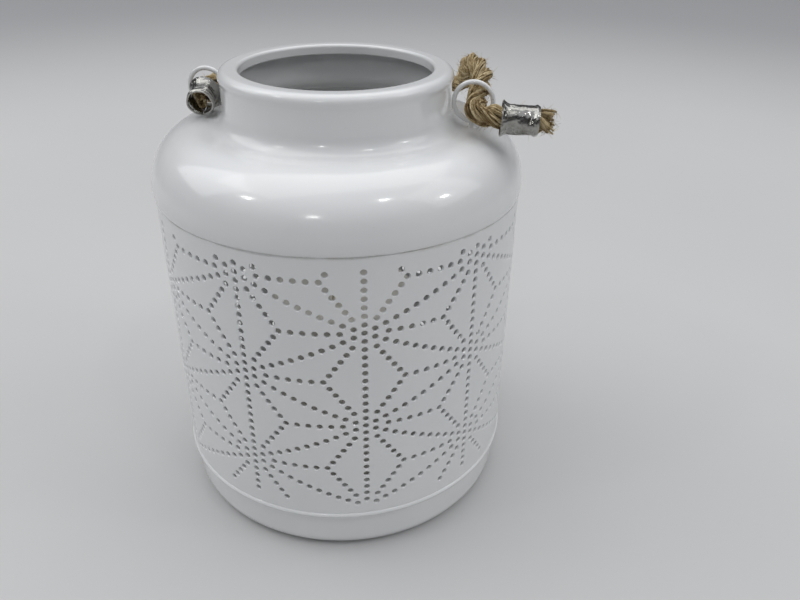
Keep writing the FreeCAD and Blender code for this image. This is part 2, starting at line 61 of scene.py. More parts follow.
def addCamera(s):
    data = bpy.data.cameras.new("camera")
    data.lens = s["lens"]
    data.clip_start = s["near"]
    camera = bpy.data.objects.new("camera", data)
    turn = Matrix.Rotation(math.radians(s["turn"]), 4, "Z")
    tilt = Matrix.Rotation(math.radians(90 - s["tilt"]), 4, "X")
    roll = Matrix.Rotation(math.radians(s["roll"]), 4, "Z")
    camera.matrix_world = Matrix.Translation(s["place"]) @ turn @ tilt @ roll
    scene.collection.objects.link(camera)
    scene.camera = camera


addCamera(cameraSet)
print("camera placed")


# finishes
class Wire:
    # one output socket, and the maths that can be done on it
    def __init__(self, finish, socket):
        self.finish = finish
        self.socket = socket

    def maths(self, operation, *values):
        return self.finish.node("ShaderNodeMath", {"operation": operation}, dict(enumerate(values)))

    def __add__(self, other):
        return self.maths("ADD", self, other)

    def __radd__(self, other):
        return self.maths("ADD", other, self)

    def __sub__(self, other):
        return self.maths("SUBTRACT", self, other)

    def __rsub__(self, other):
        return self.maths("SUBTRACT", other, self)

    def __mul__(self, other):
        return self.maths("MULTIPLY", self, other)

    def __rmul__(self, other):
        return self.maths("MULTIPLY", other, self)

    def __abs__(self):
        return self.maths("ABSOLUTE", self)


class Finish:
    def __init__(self, name, holder=None):
        self.material = holder or bpy.data.materials.new(name)
        self.material.use_nodes = True
        self.tree = self.material.node_tree
        self.tree.nodes.clear()

    def node(self, kind, settings, sockets, output=0):
        made = self.tree.nodes.new(kind)
        for key, value in settings.items():
            if key == "stops":
                ramp = made.color_ramp.elements
                for index, (place, colour) in enumerate(value):
                    stop = ramp[index] if index < len(ramp) else ramp.new(place)
                    stop.position = place
                    stop.color = (*colour, 1)
            else:
                setattr(made, key, value)
        for key, value in sockets.items():
            if isinstance(value, Wire):
                self.tree.links.new(value.socket, made.inputs[key])
            elif isinstance(value, tuple) and len(value) == 3 and made.inputs[key].type == "RGBA":
                made.inputs[key].default_value = (*value, 1)
            else:
                made.inputs[key].default_value = value
        return Wire(self, made.outputs[output]) if len(made.outputs) else None

    def place(self):
        return self.node("ShaderNodeTexCoord", {}, {}, "Object")

    def uv(self, scale):
        uv = self.node("ShaderNodeTexCoord", {}, {}, "UV")
        return self.node("ShaderNodeMapping", {}, {"Vector": uv, "Scale": scale})

    def stretched(self, scale):
        return self.node("ShaderNodeMapping", {}, {"Vector": self.place(), "Scale": scale})

    def noise(self, at, scale, detail, rough):
        sockets = {"Vector": at, "Scale": scale, "Detail": detail, "Roughness": rough}
        return self.node("ShaderNodeTexNoise", {}, sockets)

    def split(self, at, axis):
        return self.node("ShaderNodeSeparateXYZ", {}, {"Vector": at}, axis)

    def band(self, value, low, high):
        # 0 below low, 1 above high, smooth between
        sockets = {"Value": value, "From Min": low, "From Max": high}
        return self.node("ShaderNodeMapRange", {"interpolation_type": "SMOOTHSTEP"}, sockets)

    def mix(self, share, first, second):
        # by number, because the node has sockets of one name for each type
        return self.node("ShaderNodeMix", {"data_type": "RGBA"}, {0: share, 6: first, 7: second}, 2)

    def bump(self, height, depth, strength):
        sockets = {"Height": height, "Distance": depth, "Strength": strength}
        return self.node("ShaderNodeBump", {}, sockets)

    def done(self, surface):
        shader = self.node("ShaderNodeBsdfPrincipled", {}, surface)
        self.node("ShaderNodeOutputMaterial", {}, {"Surface": shader})
        return self.material


def uneven(level, wave, noise):
    # a value that the noise moves to both sides of a level
    return level - wave / 2 + noise * wave


# mesh helpers
def makeObject(name, verts, faces, finish=None):
    mesh = bpy.data.meshes.new(name)
    mesh.from_pydata(verts, [], faces)
    mesh.update()
    piece = bpy.data.objects.new(name, mesh)
    scene.collection.objects.link(piece)
    if finish:
        mesh.materials.append(finish)
    return piece


def outwards(piece, merge=0.000001):
    form = bmesh.new()
    form.from_mesh(piece.data)
    bmesh.ops.remove_doubles(form, verts=form.verts, dist=merge)
    bmesh.ops.recalc_face_normals(form, faces=form.faces)
    form.to_mesh(piece.data)
    form.free()


def smooth(piece, degrees):
    piece.data.shade_smooth()
    piece.data.set_sharp_from_angle(angle=math.radians(degrees))


def gridFaces(rows, wide, base=0, closeRows=False, closeWide=True):
    # four-sided faces between rows of points that follow each other
    faces = []
    for row in range(rows if closeRows else rows - 1):
        low, high = base + row * wide, base + (row + 1) % rows * wide
        for i in range(wide if closeWide else wide - 1):
            j = (i + 1) % wide
            faces.append((low + i, low + j, high + j, high + i))
    return faces


def arc(across, up, radius, start, end, steps):
    turn = [math.radians(start + (end - start) * i / steps) for i in range(steps + 1)]
    return [(across + radius * math.cos(a), up + radius * math.sin(a)) for a in turn]


def eased(across, up, offsets):
    # a corner of a profile, softened by points beside it
    return [(across + out, up + rise) for out, rise in offsets]


def lathe(name, profile, steps, finish):
    # profile is a closed loop of (radius, height) in mm, and points on the axis become one point
    verts, rings = [], []
    for radius, height in profile:
        if radius == 0:
            rings.append([len(verts)] * steps)
            verts.append((0, 0, height * mm))
            continue
        rings.append([len(verts) + i for i in range(steps)])
        for i in range(steps):
            angle = math.tau * i / steps
            verts.append((radius * mm * math.cos(angle), radius * mm * math.sin(angle), height * mm))
    faces = []
    for ring, after in zip(rings, rings[1:] + rings[:1]):
        for i in range(steps):
            j = (i + 1) % steps
            loop = list(dict.fromkeys((ring[i], ring[j], after[j], after[i])))
            if len(loop) > 2:
                faces.append(loop)
    piece = makeObject(name, verts, faces, finish)
    outwards(piece)
    return piece


def carriedFrames(path):
    # point, two sides across and length so far, carried along the path without twist
    count = len(path)
    frames, gone = [], 0.0
    side = None
    for i in range(count):
        tangent = (path[min(i + 1, count - 1)] - path[max(i - 1, 0)]).normalized()
        side = tangent.orthogonal() if side is None else side
        side = (side - tangent * side.dot(tangent)).normalized()
        gone += (path[i] - path[i - 1]).length if i else 0.0
        frames.append((path[i], side, tangent.cross(side), gone))
    return frames


def addTube(tube, path, radii, sides):
    base, last = len(tube["verts"]), len(tube["verts"]) + (len(path) - 1) * sides
    for (point, side, other, _), radius in zip(carriedFrames(path), radii):
        for k in range(sides):
            angle = math.tau * k / sides
            tube["verts"].append(point + (side * math.cos(angle) + other * math.sin(angle)) * radius)
    tube["faces"] += gridFaces(len(path), sides, base)
    tube["faces"].append(tuple(base + k for k in reversed(range(sides))))
    tube["faces"].append(tuple(last + k for k in range(sides)))


def evaluatedMesh(piece):
    graph = bpy.context.evaluated_depsgraph_get()
    return bpy.data.meshes.new_from_object(piece.evaluated_get(graph), depsgraph=graph)


def keepResult(piece):
    # what the modifiers make becomes a plain mesh
    mesh = evaluatedMesh(piece)
    piece.modifiers.clear()
    mesh.name = piece.name
    piece.data = mesh


# trees that lay out what repeats
def nodeTree(name, inputs):
    tree = bpy.data.node_groups.new(name, "GeometryNodeTree")
    tree.interface.new_socket(name="Geometry", in_out="INPUT", socket_type="NodeSocketGeometry")
    for label, kind in inputs:
        tree.interface.new_socket(name=label, in_out="INPUT", socket_type="NodeSocket" + kind)
    tree.interface.new_socket(name="Geometry", in_out="OUTPUT", socket_type="NodeSocketGeometry")
    return tree, tree.nodes.new("NodeGroupInput"), tree.nodes.new("NodeGroupOutput")


def treeNode(tree, kind, settings, links):
    made = tree.nodes.new(kind)
    for key, value in settings.items():
        setattr(made, key, value)
    for key, value in links.items():
        if isinstance(value, bpy.types.NodeSocket):
            tree.links.new(value, made.inputs[key])
        else:
            made.inputs[key].default_value = value
    return made


def closeTree(tree, output, geometry, paint):
    real = treeNode(tree, "GeometryNodeRealizeInstances", {}, {"Geometry": geometry})
    painted = treeNode(tree, "GeometryNodeSetMaterial", {}, {"Geometry": real.outputs[0], "Material": paint})
    tree.links.new(painted.outputs[0], output.inputs[0])


def bakeTree(piece, tree, values):
    modifier = piece.modifiers.new(tree.name, "NODES")
    modifier.node_group = tree
    for item in tree.interface.items_tree:
        if item.in_out == "INPUT" and item.name in values:
            modifier[item.identifier] = values[item.name]
    keepResult(piece)


# rope handle: twisted jute on the route of the cord
ropeSet = {
    "diameter": 8.4,
    "strands": 3,
    "strandFill": 1.08,   # strands press into each other by this much
    "lay": 27.0,          # mm for one turn of the strands
    "yarns": 17,          # round each strand
    "yarnShare": 0.20,    # of a strand's radius
    "yarnLay": 15.0,
    "yarnSides": 4,
    "proud": (0.84, 1.06),      # how far a yarn stands out
    "thick": 0.94,
    "swell": 0.12,              # more thickness where a yarn stands out
    "twistWaves": [(0.22, 260, 3), (0.10, 890, 5)],     # depth, rate along the rope, shift
    "reachWaves": [(0.10, 410, 1), (0.08, 1130, 2)],
    "tucked": 1.8,        # mm that the left end lies back inside its ferrule
    "fray": 7.0,          # mm at the bare end that opens up
    "frayCut": 2.6,       # mm by which the yarns there differ in length
    "frayOut": 0.25,
    "fraySpread": (-0.5, 0.3),
    "frayThin": 0.25,
    "uvLength": 20.0,
    "uvShift": (0.37, 0.71),    # from yarn to yarn and from strand to strand
    "strays": 4600,
    "strayFray": 9.0,           # so many times more where the rope is open
    "strayScale": (0.25, 1.0),
    "strayLean": 1.25,          # radians to either side
    "strayRoll": 3.14,
    "hair": {"length": 3.0, "thick": 0.08, "bend": 0.55, "taper": 0.33, "rings": 3, "sides": 3},
    "seed": 5,
    "ringHeight": 167.2,
    "smoothness": 18,           # points of the path for each point of the route
    "route": [            # mm, heights from the middle of the rings
        (-50.7, -10.2, -3.2), (-51.3, 1.0, -0.4), (-51.4, 11.0, -0.6), (-48.4, 28.0, -3.0),
        (-38.5, 47.0, -6.0), (-17.5, 60.5, -7.1), (9.5, 63.5, -7.6), (32.5, 57.5, -7.8),
        (44.6, 46.5, -4.6), (46.2, 35.0, 3.8), (48.2, 24.0, 9.0), (54.4, 13.0, 7.0),
        (52.4, -1.0, -0.4), (52.5, -8.8, -1.2), (58.8, -13.2, -1.6), (73.0, -12.4, -2.3),
        (81.4, -11.0, -2.9),
    ],
}
juteSet = {
    "streak": 1.7, "patch": 1.2, "tone": 0.6, "level": -1.25,       # what picks the colour
    "stops": [(0.10, (0.110, 0.068, 0.028)), (0.36, (0.300, 0.210, 0.102)),
              (0.58, (0.510, 0.398, 0.214)), (0.88, (0.770, 0.645, 0.420))],
    "rough": 0.92, "shine": 0.2, "fibreDepth": 0.0004,
}


def juteFinish(s):
    jute = Finish("juteFibre")
    streak = jute.noise(jute.uv((1.6, 1.3, 1.0)), scale=6.0, detail=5.0, rough=0.75)
    patch = jute.noise(jute.place(), scale=520.0, detail=4.0, rough=0.7)
    tone = jute.node("ShaderNodeAttribute", {"attribute_name": "yarnTone"}, {}, "Fac")
    share = streak * s["streak"] + patch * s["patch"] + tone * s["tone"] + s["level"]
    colour = jute.node("ShaderNodeValToRGB", {"stops": s["stops"]}, {"Fac": share})
    fibres = jute.noise(jute.uv((3.0, 14.0, 1.0)), scale=9.0, detail=4.0, rough=0.7)
    bump = jute.bump(fibres, s["fibreDepth"], strength=0.8)
    return jute.done({"Base Color": colour, "Roughness": s["rough"], "Normal": bump,
                      "Specular IOR Level": s["shine"]})


def readSpline(points, smoothness):
    curve = bpy.data.curves.new("ropeRoute", "CURVE")
    curve.dimensions = "3D"
    spline = curve.splines.new("NURBS")
    spline.points.add(len(points) - 1)
    for point, (x, y, z) in zip(spline.points, points):
        point.co = (x, y, z, 1)
    spline.order_u = 3
    spline.use_endpoint_u = True
    spline.resolution_u = smoothness
    route = bpy.data.objects.new("ropeRoute", curve)
    scene.collection.objects.link(route)
    mesh = evaluatedMesh(route)
    path = [vert.co.copy() for vert in mesh.vertices]
    bpy.data.meshes.remove(mesh)
    bpy.data.objects.remove(route)
    return path


def ripple(level, waves, gone, drift):
    return sum((depth * math.sin(gone * rate + drift * shift) for depth, rate, shift in waves), level)


def makeRope(s, finish):
    seeded = random.Random(s["seed"])
    points = [(x * mm, y * mm, (z + s["ringHeight"]) * mm) for x, y, z in s["route"]]
    path = readSpline(points, s["smoothness"])
    frames = carriedFrames(path)
    length = frames[-1][3]
    radius = s["diameter"] / 2 * mm
    strandRadius = radius / (1 + 2 / math.sqrt(3)) * s["strandFill"]    # three circles in one
    strandOut = radius - strandRadius
    yarnRadius = strandRadius * s["yarnShare"]
    yarnOut = strandRadius - yarnRadius
    tube = {"verts": [], "faces": []}
    tones, coords, opened = [], [], []
    for strand in range(s["strands"]):
        for yarn in range(s["yarns"]):
            cut = length - seeded.uniform(0.0, s["frayCut"]) * mm
            proud = seeded.uniform(*s["proud"])
            spread = seeded.uniform(*s["fraySpread"])
            drift = seeded.uniform(0, math.tau)
            shift = yarn * s["uvShift"][0] + strand * s["uvShift"][1]
            line, radii, along, looseness = [], [], [], []
            for centre, side, other, gone in frames:
                if gone < s["tucked"] * mm:
                    continue
                if gone > cut:
                    break
                turn = math.tau * (gone / (s["lay"] * mm) + strand / s["strands"])
                twist = math.tau * (gone / (s["yarnLay"] * mm) + yarn / s["yarns"]) - turn
                twist += ripple(0, s["twistWaves"], gone, drift)
                wave = ripple(1, s["reachWaves"], gone, drift)
                loose = max(0.0, 1 - (length - gone) / (s["fray"] * mm))
                out = strandOut * (1 + s["frayOut"] * loose)
                reach = yarnOut * wave * proud * (1 + spread * loose)
                x = math.cos(turn) * out + math.cos(twist) * reach
                y = math.sin(turn) * out + math.sin(twist) * reach
                line.append(centre + side * x + other * y)
                radii.append(yarnRadius * (s["thick"] + s["swell"] * wave) * (1 - s["frayThin"] * loose))
                along.append(gone / (s["uvLength"] * mm))
                looseness.append(loose)
            addTube(tube, line, radii, s["yarnSides"])
            tone = seeded.random()
            for place, loose in zip(along, looseness):
                for k in range(s["yarnSides"]):
                    tones.append(tone)
                    opened.append(loose)
                    coords.append((place, k / s["yarnSides"] + shift))
    rope = makeObject("ropeHandle", tube["verts"], tube["faces"], finish)
    layer = rope.data.uv_layers.new(name="alongYarn")
    for loop in rope.data.loops:
        layer.data[loop.index].uv = coords[loop.vertex_index]
    for name, values in (("yarnTone", tones), ("opened", opened)):
        rope.data.attributes.new(name, "FLOAT", "POINT").data.foreach_set("value", values)
    rope.data.shade_smooth()
    return rope, path, length, points


def hairMesh(s):
    length, last = s["length"] * mm, s["rings"] - 1
    path = [Vector((s["bend"] * length * (t / last) ** 2, 0, length * t / last)) for t in range(s["rings"])]
    radii = [s["thick"] * mm * (1 - s["taper"] * t) for t in range(s["rings"])]
    tube = {"verts": [], "faces": []}
    addTube(tube, path, radii, s["sides"])
    return makeObject("strayHair", tube["verts"], tube["faces"])


def addStrays(rope, s, finish):
    # loose hairs that stand off the yarns
    hair = hairMesh(s["hair"])
    tree, source, output = nodeTree("strayFibres", [
        ("Hair", "Object"), ("Density", "Float"), ("Lean", "Float"), ("Seed", "Int"), ("Finish", "Material")])
    ins = source.outputs
    opened = treeNode(tree, "GeometryNodeInputNamedAttribute", {"data_type": "FLOAT"}, {"Name": "opened"})
    more = treeNode(tree, "ShaderNodeMath", {"operation": "MULTIPLY_ADD"},
                    {0: opened.outputs[0], 1: s["strayFray"], 2: 1.0})
    dense = treeNode(tree, "ShaderNodeMath", {"operation": "MULTIPLY"},
                     {0: more.outputs[0], 1: ins["Density"]})
    spread = treeNode(tree, "GeometryNodeDistributePointsOnFaces", {"distribute_method": "RANDOM"},
                      {"Mesh": ins["Geometry"], "Density": dense.outputs[0], "Seed": ins["Seed"]})
    shape = treeNode(tree, "GeometryNodeObjectInfo", {}, {"Object": ins["Hair"]})
    back = treeNode(tree, "ShaderNodeMath", {"operation": "MULTIPLY"}, {0: ins["Lean"], 1: -1.0}).outputs[0]
    low = treeNode(tree, "ShaderNodeCombineXYZ", {}, {"X": back, "Y": back, "Z": -s["strayRoll"]})
    high = treeNode(tree, "ShaderNodeCombineXYZ", {},
                    {"X": ins["Lean"], "Y": ins["Lean"], "Z": s["strayRoll"]})
    tilt = treeNode(tree, "FunctionNodeRandomValue", {"data_type": "FLOAT_VECTOR"},
                    {0: low.outputs[0], 1: high.outputs[0], "Seed": ins["Seed"]})
    turned = treeNode(tree, "FunctionNodeRotateRotation", {"rotation_space": "LOCAL"},
                      {0: spread.outputs["Rotation"], 1: tilt.outputs[0]})
    least, most = s["strayScale"]
    size = treeNode(tree, "FunctionNodeRandomValue", {"data_type": "FLOAT"},
                    {2: least, 3: most, "Seed": ins["Seed"]})
    sown = treeNode(tree, "GeometryNodeInstanceOnPoints", {}, {
        "Points": spread.outputs["Points"], "Instance": shape.outputs["Geometry"],
        "Rotation": turned.outputs[0], "Scale": size.outputs[1]})
    both = treeNode(tree, "GeometryNodeJoinGeometry", {}, {})
    tree.links.new(sown.outputs[0], both.inputs[0])
    tree.links.new(ins["Geometry"], both.inputs[0])
    closeTree(tree, output, both.outputs[0], ins["Finish"])
    area = sum(face.area for face in rope.data.polygons)
    bakeTree(rope, tree, {"Hair": hair, "Density": s["strays"] / area, "Lean": s["strayLean"],
                          "Seed": s["seed"], "Finish": finish})
    bpy.data.objects.remove(hair)


jute = juteFinish(juteSet)
rope, ropePath, ropeLength, ropePoints = makeRope(ropeSet, jute)
addStrays(rope, ropeSet, jute)
print("rope twisted,", round(ropeLength, 4), "m,", len(rope.data.polygons), "faces")

# lacquer on the jar
lacquerSet = {
    "white": (0.775, 0.785, 0.79), "whiter": (0.80, 0.805, 0.805),
    "speck": (0.60, 0.59, 0.56), "speckShare": 0.25,
    # painted shade with grime: a darker, brownish band along the seam groove under the neck
    "shadeAndGrime": (0.46, 0.43, 0.37), "shadeAndGrimeShare": 0.35,
    "seam": 0.1338, "seamNear": 0.0002, "seamFar": 0.0012,      # m, where the painted shade and grime lie
    "roughWave": 0.10, "coatRough": 0.06, "peelStrength": 0.35,
}


def lacquerFinish(name, s, rough, coat, peel):
    lacquer = Finish(name)
    at = lacquer.place()
    cloud = lacquer.noise(at, scale=24.0, detail=3.0, rough=0.5)
    colour = lacquer.mix(lacquer.band(cloud, low=0.35, high=0.7), s["white"], s["whiter"])
    speck = lacquer.noise(at, scale=620.0, detail=2.0, rough=0.6)
    colour = lacquer.mix(lacquer.band(speck, low=0.70, high=0.80) * s["speckShare"], colour, s["speck"])
    # painted shade with grime, in a narrow band at the seam, broken up by noise
    away = abs(lacquer.split(at, "Z") - s["seam"])
    seam = 1 - lacquer.band(away, s["seamNear"], s["seamFar"])
    shadeAndGrime = lacquer.band(lacquer.noise(at, scale=130.0, detail=3.0, rough=0.7), low=0.35, high=0.7)
    colour = lacquer.mix(seam * shadeAndGrime * s["shadeAndGrimeShare"], colour, s["shadeAndGrime"])
    gloss = uneven(rough, s["roughWave"], lacquer.noise(at, scale=75.0, detail=4.0, rough=0.6))
    dimple = lacquer.noise(at, scale=190.0, detail=2.0, rough=0.5)
    return lacquer.done({"Base Color": colour, "Roughness": gloss, "Coat Weight": coat,
                         "Coat Roughness": s["coatRough"],
                         "Normal": lacquer.bump(dimple, peel, s["peelStrength"])})


glossWhite = lacquerFinish("whiteLacquer", lacquerSet, rough=0.20, coat=0.55, peel=0.00012)
sleeveWhite = lacquerFinish("whiteSleeveLacquer", lacquerSet, rough=0.30, coat=0.25, peel=0.00020)

# neck and shoulder, in mm; the lists are points beside a corner
neckSet = {
    "top": 178.0, "gauge": 0.8, "mouth": 36.1, "lipRound": 1.2, "hem": 3.8, "rim": 43.7, "rimRound": 3.0,
    "neck": 43.1, "cove": 6.5, "shoulder": 157.7, "shoulderRound": 19.9, "shoulderMiddle": 51.8,
    "seam": 134.2, "steps": 200,
    "edgeIn": [(0.12, 0.02)], "edgeOut": [(-0.22, 0.0), (-0.06, 0.08)],
    "edgeTurnIn": 0.5, "edgeTurnOut": 0.9,      # degrees of the shoulder's round that the edge takes up
    "rimEase": [(0.0, -2.4), (0.05, -1.7), (0.25, -0.9)], "rimEaseIn": [(0.0, -1.5)],
    "hemIn": [(0.0, 0.2), (0.15, 0.0)], "hemOut": [(-0.15, 0.0), (0.0, 0.2)],
}


def makeNeck(s, finish):
    top, gauge, neck, cove, seam = s["top"], s["gauge"], s["neck"], s["cove"], s["seam"]
    rimMiddle = s["rim"] - s["rimRound"]
    rimFoot = top - s["rimRound"]
    hem = top - s["hem"]
    lipMiddle = s["mouth"] + s["lipRound"]
    middle = s["shoulder"] - s["shoulderRound"]
    lipTurn = math.degrees(math.asin((seam - middle) / s["shoulderRound"]))
    inner = s["shoulderRound"] - gauge
    innerTurn = math.degrees(math.asin((seam - middle) / inner))
    lipIn = s["shoulderMiddle"] + inner * math.cos(math.radians(innerTurn))
    lipOut = s["shoulderMiddle"] + s["shoulderRound"] * math.cos(math.radians(lipTurn))
    # outside, upwards from the seam
    profile = eased(lipIn, seam, s["edgeIn"]) + eased(lipOut, seam, s["edgeOut"])
    profile += arc(s["shoulderMiddle"], middle, s["shoulderRound"], lipTurn + s["edgeTurnOut"], 90, steps=34)
    profile += arc(neck + cove, s["shoulder"] + cove, cove, 270, 180, steps=16)
    profile += eased(neck, rimFoot, s["rimEase"])
    profile += arc(rimMiddle, rimFoot, s["rimRound"], 0, 90, steps=12)
    profile += arc(lipMiddle, top - s["lipRound"], s["lipRound"], 90, 180, steps=8)
    # inside, from the hem down to the seam
    profile += eased(s["mouth"], hem, s["hemIn"]) + eased(s["mouth"] + gauge, hem, s["hemOut"])
    profile += arc(lipMiddle, top - s["lipRound"], s["lipRound"] - gauge, 180, 90, steps=4)
    profile += arc(rimMiddle, rimFoot, s["rimRound"] - gauge, 90, 0, steps=8)
    profile += eased(neck - gauge, rimFoot, s["rimEaseIn"])
    profile += arc(neck + cove, s["shoulder"] + cove, cove + gauge, 180, 270, steps=10)
    profile += arc(s["shoulderMiddle"], middle, inner, 90, innerTurn + s["edgeTurnIn"], steps=18)
    piece = lathe("neckShoulder", profile, s["steps"], finish)
    smooth(piece, degrees=32)
    return piece


neck = makeNeck(neckSet, glossWhite)
print("neck and shoulder spun")

# base pan, in mm; the lists are points beside a corner
baseSet = {
    "gauge": 0.8, "seatRadius": 31.8, "seatUnder": 1.4, "floorRise": 2.6, "seatDepth": 1.2, "footIn": 58.0,
    "footOut": 63.0, "wall": 69.5, "round": 6.5, "bead": 19.7, "beadRound": 1.2, "beadMiddle": 70.4,
    "flange": 70.1, "flangeTop": 24.9, "steps": 200,
    "seatEase": [(-0.3, 0.0), (0.1, 0.1)], "rimEase": [(-0.1, -0.1), (0.3, 0.0)],
    "floorEase": [(-0.6, 0.0), (0.2, -0.25)], "footEase": [(-0.3, 0.25), (0.5, 0.0)],
    "beadEase": [(0.0, -0.3), (0.2, -0.05)],
}


def makeBase(s, finish):
    gauge, under, rise = s["gauge"], s["seatUnder"], s["floorRise"]
    wall, foot, bead, flange = s["wall"], s["footIn"], s["bead"], s["flange"]
    beadFoot, beadTop = bead - s["beadRound"], bead + s["beadRound"]
    seat, seatRim = s["seatRadius"], s["seatRadius"] + s["seatDepth"]
    lean = gauge * math.tan(math.pi / 8)        # keeps the gauge on the sloping parts
    # underside and outside, upwards from the middle
    profile = [(0, under)] + eased(seat, under, s["seatEase"]) + eased(seatRim, rise, s["rimEase"])
    profile += eased(foot - rise, rise, s["floorEase"]) + eased(foot, 0, s["footEase"])
    profile += [(s["footOut"], 0)]
    profile += arc(s["footOut"], s["round"], s["round"], -88, 0, steps=14)
    profile += eased(wall, beadFoot, s["beadEase"])
    profile += arc(s["beadMiddle"], bead, s["beadRound"], -90, 90, steps=14)
    profile += [(flange, beadTop), (flange, s["flangeTop"])]
    # inside, down to the seat
    profile += [(flange - gauge, s["flangeTop"]), (flange - gauge, bead), (wall - gauge, beadFoot)]
    profile += arc(s["footOut"], s["round"], s["round"] - gauge, 0, -90, steps=10)
    profile += [(foot + lean, gauge), (foot - rise + lean, rise + gauge), (seatRim - lean, rise + gauge),
                (seat - lean, under + gauge), (0, under + gauge)]
    pan = lathe("basePan", profile, s["steps"], finish)
    smooth(pan, degrees=38)
    return pan


base = makeBase(baseSet, glossWhite)
print("base pan spun")

# pierced sleeve: hemp-leaf stars of punched holes
sleeveSet = {
    "radius": 71.0, "gauge": 0.8, "foot": 20.9, "seam": 134.2, "tuck": 70.46, "tuckTop": 138.2,
    "step": 1.2, "steps": 240, "sheetRows": 12,
    "columns": 10, "rows": (-4, 3), "turn": -70.6, "starHeight": 104.8, "spacing": 40.2,
    "edgeSteps": 12, "spokeSteps": 7, "apart": 2.75, "bandFoot": 24.4, "bandTop": 128.4,
    "punchSides": 12, "punchReach": 3.0,
    "punch": [(1.14, 0.1), (1.365, 0.42)],      # radius, and height from the sheet's middle, of a hole's lip
    "seamRise": 0.42, "seamWave": 0.20,         # mm by which the lacquer fills the groove under the neck
    "seamWaves": [(1.0, 5, 0.4), (0.7, 13, 2.0), (0.5, 31, 0.0)],       # depth, count, shift
}


def holePlaces(s):
    rise = s["spacing"]
    edges, spokes = [], []
    for column in range(s["columns"]):
        for row in range(*s["rows"]):
            height = s["starHeight"] + rise * (row + column % 2 / 2)
            star, above = (column, height), (column, height + rise)
            upper, lower = (column + 1, height + rise / 2), (column + 1, height - rise / 2)
            edges += [(star, above), (star, upper), (star, lower)]
            for triangle in ((star, above, upper), (star, upper, lower)):
                heart = tuple(sum(values) / 3 for values in zip(*triangle))
                spokes += [(heart, corner) for corner in triangle]
    width = math.tau * s["radius"] / s["columns"]
    kept = []
    for lines, steps in ((edges, s["edgeSteps"]), (spokes, s["spokeSteps"])):
        for start, end in lines:
            for index in range(steps + 1):
                share = index / steps
                column = (start[0] + (end[0] - start[0]) * share) % s["columns"]
                height = start[1] + (end[1] - start[1]) * share
                if not s["bandFoot"] < height < s["bandTop"]:
                    continue
                gaps = ((abs(column - c), height - h) for c, h in kept if abs(height - h) < s["apart"])
                if all(math.hypot(min(g, s["columns"] - g) * width, up) > s["apart"] for g, up in gaps):
                    kept.append((column, height))
    return kept


def latheNormals(piece, upright=0.5, askew=0.05):
    # exact normals on the turned faces, so that the many small faces between holes shade as one sheet
    mesh = piece.data
    normals = [(0, 0, 1)] * len(mesh.loops)
    for face in mesh.polygons:
        out = Vector((face.center.x, face.center.y, 0)).normalized()
        facing = face.normal.dot(out)
        aside = face.normal.dot(Vector((-out.y, out.x, 0)))
        for index in face.loop_indices:
            if abs(facing) < upright or abs(aside) > askew:
                normals[index] = face.normal[:]
                continue
            point = mesh.vertices[mesh.loops[index].vertex_index].co
            level = math.sqrt(max(0.0, 1 - face.normal.z ** 2)) * (1 if facing > 0 else -1)
            flat = Vector((point.x, point.y, 0)).normalized() * level
            normals[index] = (flat.x, flat.y, face.normal.z)
    mesh.shade_smooth()
    mesh.normals_split_custom_set(normals)


def makeSheet(s, finish):
    radius, gauge, foot, seam, tuck = s["radius"], s["gauge"], s["foot"], s["seam"], s["tuck"]
    step = seam - s["step"]
    levels = [foot + (step - foot) * i / s["sheetRows"] for i in range(1, s["sheetRows"] + 1)]
    profile = [(radius - gauge, foot), (radius, foot)]
    profile += [(radius, level) for level in levels]
    profile += [(tuck, seam), (tuck, s["tuckTop"]), (tuck - gauge, s["tuckTop"]), (tuck - gauge, seam)]
    profile += [(radius - gauge, level) for level in reversed(levels)]
    sheet = lathe("perforatedSleeve", profile, s["steps"], finish)
    near = 0.01 * mm
    for vert in sheet.data.vertices:
        if abs(vert.co.z - step * mm) < near and vert.co.xy.length > (radius - gauge / 2) * mm:
            turn = math.atan2(vert.co.y, vert.co.x)
            wave = sum(depth * math.sin(count * turn + shift) for depth, count, shift in s["seamWaves"])
            vert.co.z += (s["seamRise"] + s["seamWave"] * wave) * mm
    return sheet


def punchHoles(sheet, places, s, finish):
    reach, lip = s["punchReach"], s["punch"]
    sides = [(0, -reach), (lip[0][0], -reach)] + lip + [(lip[-1][0], reach), (0, reach)]
    punch = lathe("punch", sides, s["punchSides"], finish)
    marks = makeObject("holeMarks", places, [])
    tree, source, output = nodeTree("punchedHoles", [
        ("Hole marks", "Object"), ("Punch", "Object"), ("Finish", "Material")])
    ins = source.outputs
    marked = treeNode(tree, "GeometryNodeObjectInfo", {}, {"Object": ins["Hole marks"]})
    tool = treeNode(tree, "GeometryNodeObjectInfo", {}, {"Object": ins["Punch"]})
    spot = treeNode(tree, "GeometryNodeInputPosition", {}, {})
    level = treeNode(tree, "ShaderNodeVectorMath", {"operation": "MULTIPLY"},
                     {0: spot.outputs[0], 1: (1, 1, 0)})
    aim = treeNode(tree, "FunctionNodeAlignRotationToVector", {"axis": "Z"}, {"Vector": level.outputs[0]})
    punches = treeNode(tree, "GeometryNodeInstanceOnPoints", {}, {
        "Points": marked.outputs["Geometry"], "Instance": tool.outputs["Geometry"],
        "Rotation": aim.outputs[0]})
    solid = treeNode(tree, "GeometryNodeRealizeInstances", {}, {"Geometry": punches.outputs[0]})
    pierced = treeNode(tree, "GeometryNodeMeshBoolean", {"operation": "DIFFERENCE", "solver": "MANIFOLD"}, {})
    tree.links.new(ins["Geometry"], pierced.inputs["Mesh 1"])
    tree.links.new(solid.outputs[0], pierced.inputs["Mesh 2"])
    closeTree(tree, output, pierced.outputs["Mesh"], ins["Finish"])
    bakeTree(sheet, tree, {"Hole marks": marks, "Punch": punch, "Finish": finish})
    bpy.data.objects.remove(marks)
    bpy.data.objects.remove(punch)


